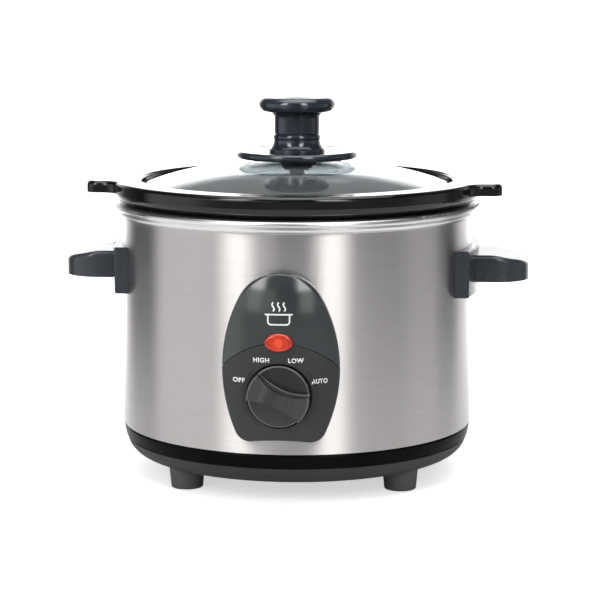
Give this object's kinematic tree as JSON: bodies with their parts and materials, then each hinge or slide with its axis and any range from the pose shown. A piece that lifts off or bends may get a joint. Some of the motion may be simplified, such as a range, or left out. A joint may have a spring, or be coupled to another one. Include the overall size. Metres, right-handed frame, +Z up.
{
  "type": "slow cooker",
  "caption": "Small round slow cooker with a lift-out glazed crock with lugs, domed glass lid, brushed steel shell, side handles and an egg-shaped panel with a rotary dial.",
  "frame": {"origin": "on the table plane, under the middle of the whole part's box; the pot's own vertical axis is 7.6 mm behind it, at +Y", "axes": "+Z up, the control panel faces -Y, the side handles and crock lugs point along +X and -X"},
  "size_m": [0.258, 0.2208, 0.2102],
  "materials": {
    "brushed_shell": "satin brushed round the body",
    "liner_steel": "bright satin",
    "base_plastic": "gloss band over a satin bowl",
    "zinc": "zinc plated",
    "aluminium_sheet": "mill finish",
    "mica": "matte",
    "glass_wool": "fibrous",
    "foot_rubber": "matte",
    "handle_plastic": "semi-gloss",
    "hood_gloss": "gloss",
    "fascia_satin": "satin",
    "lens_red": "translucent gloss",
    "white_plastic": "satin",
    "clear_glass": "clear, polished",
    "ceramic_body": "satin",
    "switch_plastic": "satin",
    "gland_plastic": "satin",
    "wire_sleeve": "glass-fibre sleeve",
    "crock_glaze": "high gloss glaze",
    "knob_plastic": "gloss",
    "silicone": "matte",
    "dial_plastic": "semi-gloss"
  },
  "bodies": {
    "housing": {"outer_shell": "brushed_shell", "heating_liner": "liner_steel", "base": "base_plastic", "base_nut": "zinc", "base_washer": "zinc", "centre_stud": "zinc", "shield_plate": "aluminium_sheet", "shield_nuts": "zinc", "heater_band": "mica", "heater_clamp_lower": "zinc", "heater_clamp_upper": "zinc", "clamp_screws": "zinc", "insulation_blanket": "glass_wool", "foot_front_left": "foot_rubber", "foot_front_right": "foot_rubber", "foot_rear_left": "foot_rubber", "foot_rear_right": "foot_rubber", "foot_screws": "zinc", "handle_left": "handle_plastic", "handle_right": "handle_plastic", "handle_screws": "zinc", "panel_hood": "hood_gloss", "panel_fascia": "fascia_satin", "panel_screws": "zinc", "indicator_lens": "lens_red", "lamp_holder": "white_plastic", "neon_lamp": "clear_glass", "lamp_resistor": "ceramic_body", "rotary_switch": "switch_plastic", "switch_nut": "zinc", "thermostat": "zinc", "thermal_fuse": "zinc", "fuse_clip": "zinc", "terminal_block": "white_plastic", "cord_gland": "gland_plastic", "wire_live": "wire_sleeve", "wire_neutral": "wire_sleeve", "wire_heater": "wire_sleeve", "wire_lamp": "wire_sleeve"},
    "crock": {"crock": "crock_glaze"},
    "lid": {"lid_glass": "clear_glass", "lid_flange": "knob_plastic", "lid_knob": "knob_plastic", "lid_seal": "silicone", "lid_washer": "zinc", "lid_screw": "zinc"},
    "dial": {"dial_knob": "dial_plastic", "switch_shaft": "zinc"}
  },
  "joints": [
    {"name": "crock_lift", "type": "slide", "parent": "housing", "child": "crock", "axis": [0, 0, 1], "range_m": [0, 0.12]},
    {"name": "lid_lift", "type": "slide", "parent": "crock", "child": "lid", "axis": [0, 0, 1], "range_m": [0, 0.06]},
    {"name": "dial_turn", "type": "hinge", "parent": "housing", "child": "dial", "pos_m": [0, -0.0952, 0.0614], "axis": [0, 1, 0], "range_deg": [0, 135]}
  ]
}
